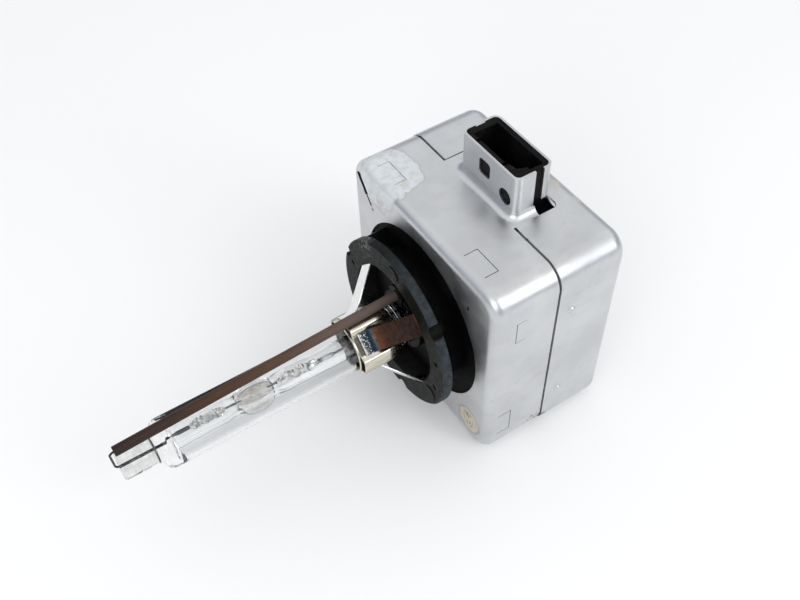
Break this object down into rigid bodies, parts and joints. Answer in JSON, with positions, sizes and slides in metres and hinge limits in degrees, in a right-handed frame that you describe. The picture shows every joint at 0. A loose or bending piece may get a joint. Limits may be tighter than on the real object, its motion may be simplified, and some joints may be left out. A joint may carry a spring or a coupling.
{
  "type": "headlight bulb",
  "caption": "Xenon headlight bulb: a quartz burner held by bent legs on a round cap ring, in front of a sheet-metal igniter box with a plug socket.",
  "frame": {"origin": "on the bulb's axis, at the reference plane of the cap ring (the plane of its three small bosses)", "axes": "-Y points out of the cap ring along the bulb's axis to its tip, +Y into the igniter box, +Z towards the plug socket's mouth, +X to the right when looking along +Y"},
  "size_m": [0.0428, 0.0834, 0.0506],
  "materials": {
    "shield_steel": "satin, plated, lightly worn",
    "ring_plastic": "matt, dusty",
    "housing_plastic": "matt",
    "header_plastic": "matt",
    "contact_metal": "tinned",
    "jacket_quartz": "clear",
    "arc_quartz": "clear, faintly grey",
    "foil_metal": "rolled",
    "electrode_metal": "drawn",
    "lead_metal": "drawn",
    "wire_metal": "drawn",
    "tube_ceramic": "unglazed",
    "clamp_metal": "bright, pale gold tint",
    "leg_metal": "bright",
    "leg_metal_tinted": "heat-tinted",
    "ferrite": "sintered",
    "bobbin_plastic": "matt",
    "winding_copper": "enamelled",
    "gap_ceramic": "glazed ends in metal",
    "capacitor_case": "smooth",
    "resistor_body": "smooth",
    "board": "smooth",
    "contact_brass": "plain"
  },
  "bodies": {
    "root": {"front_shield": "shield_steel", "rear_shield": "shield_steel", "base_ring": "ring_plastic", "igniter_housing": "housing_plastic", "housing_lid": "housing_plastic", "connector_header": "header_plastic", "pin_left": "contact_metal", "pin_middle": "contact_metal", "pin_right": "contact_metal", "outer_bulb": "jacket_quartz", "arc_tube": "arc_quartz", "foil_rear": "foil_metal", "foil_front": "foil_metal", "electrode_rear": "electrode_metal", "electrode_front": "electrode_metal", "lead_rear": "lead_metal", "lead_front": "lead_metal", "return_wire": "wire_metal", "ceramic_tube": "tube_ceramic", "clamp_sleeve": "clamp_metal", "leg_right_top": "leg_metal_tinted", "leg_left_top": "leg_metal", "leg_left_bottom": "leg_metal", "leg_right_bottom": "leg_metal", "ferrite_core": "ferrite", "coil_bobbin": "bobbin_plastic", "secondary_winding": "winding_copper", "primary_winding": "winding_copper", "spark_gap": "gap_ceramic", "capacitor": "capacitor_case", "bleeder_resistor": "resistor_body", "carrier_board": "board", "hv_contact": "contact_brass", "return_contact": "contact_brass"}
  },
  "joints": []
}
